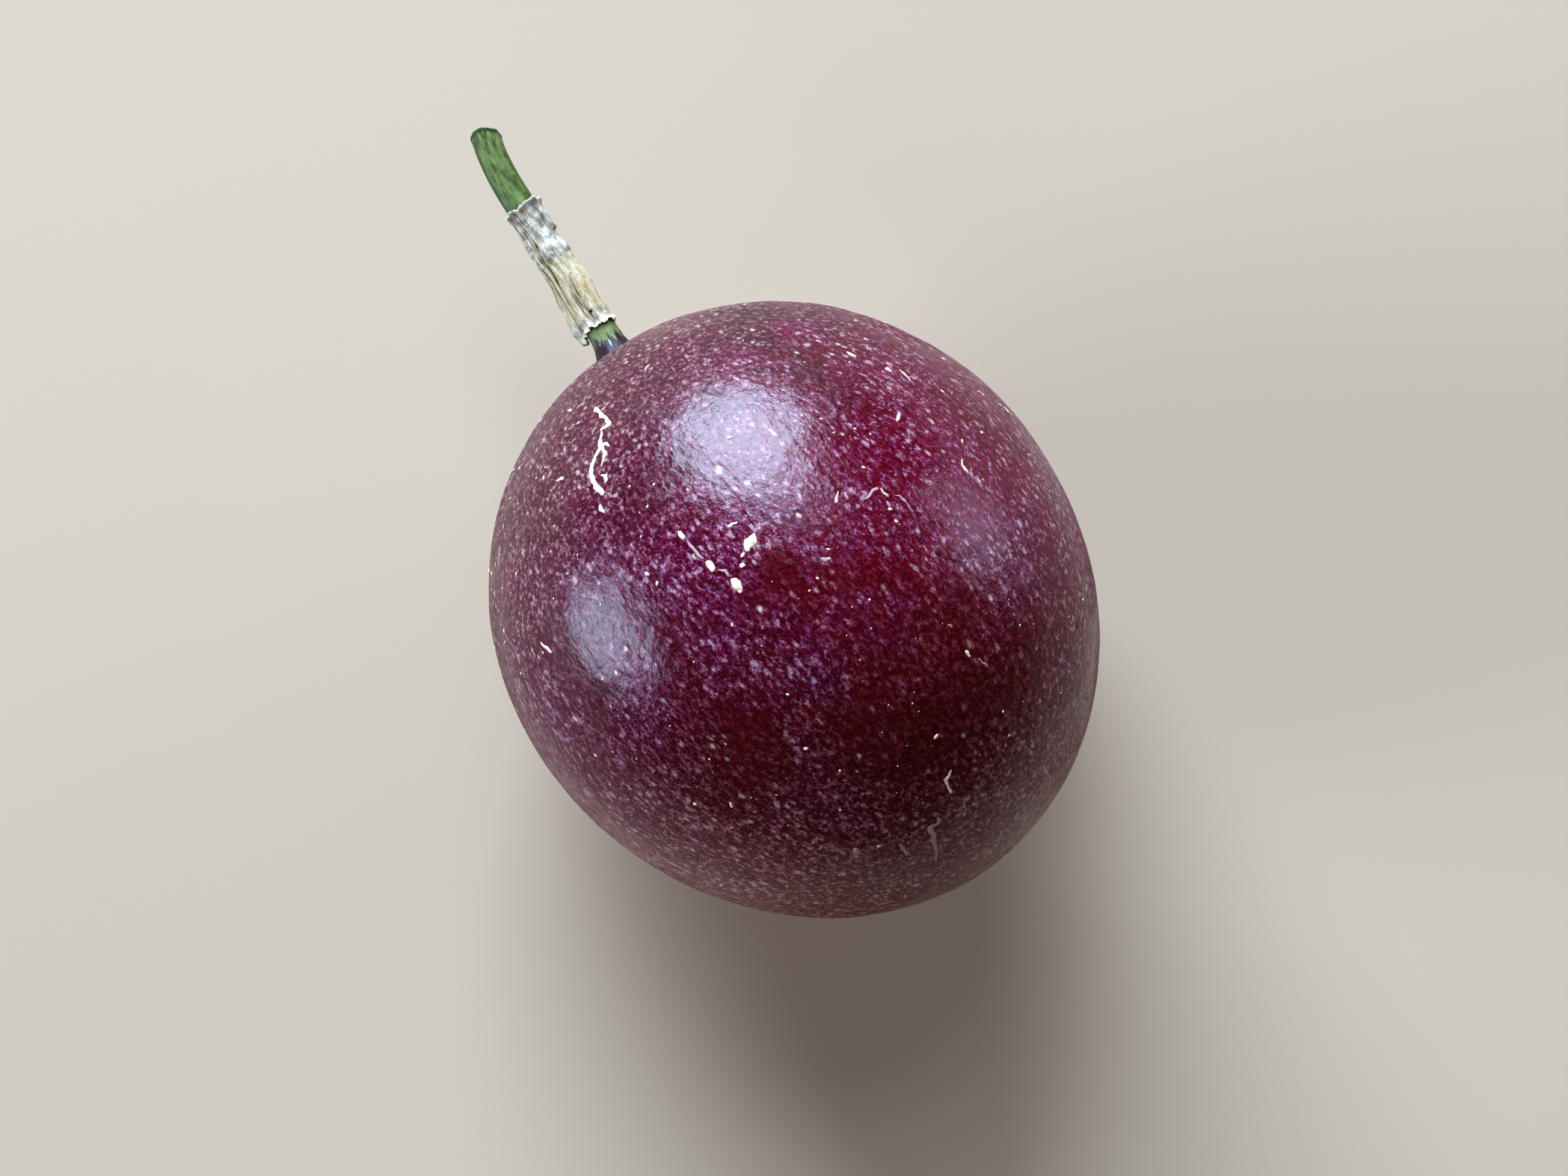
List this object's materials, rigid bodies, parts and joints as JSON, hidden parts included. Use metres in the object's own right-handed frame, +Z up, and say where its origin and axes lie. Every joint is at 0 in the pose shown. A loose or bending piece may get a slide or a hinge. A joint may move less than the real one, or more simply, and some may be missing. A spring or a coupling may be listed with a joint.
{
  "type": "passion fruit",
  "caption": "Whole purple passion fruit lying on its side, with its cut green stalk and the dried flower sleeve around it.",
  "frame": {"origin": "centre of the small flat spot that the fruit rests on", "axes": "+Z up from the surface, +X along the fruit from its blossom end to its stalk end, +Y to the left of that"},
  "size_m": [0.0699, 0.045, 0.0443],
  "materials": {
    "rind": "dark wine-purple skin, satin and finely pitted, freckled with pale flecks and small corky scars",
    "green_stalk": "olive green living stalk with faint lengthwise ridges, purple streaks at the fruit",
    "dried_tissue": "dull grey-white to tan dried plant tissue, wrinkled lengthwise"
  },
  "bodies": {
    "root": {"fruit": "rind", "stalk": "green_stalk", "dried_sleeve": "dried_tissue"}
  },
  "joints": []
}
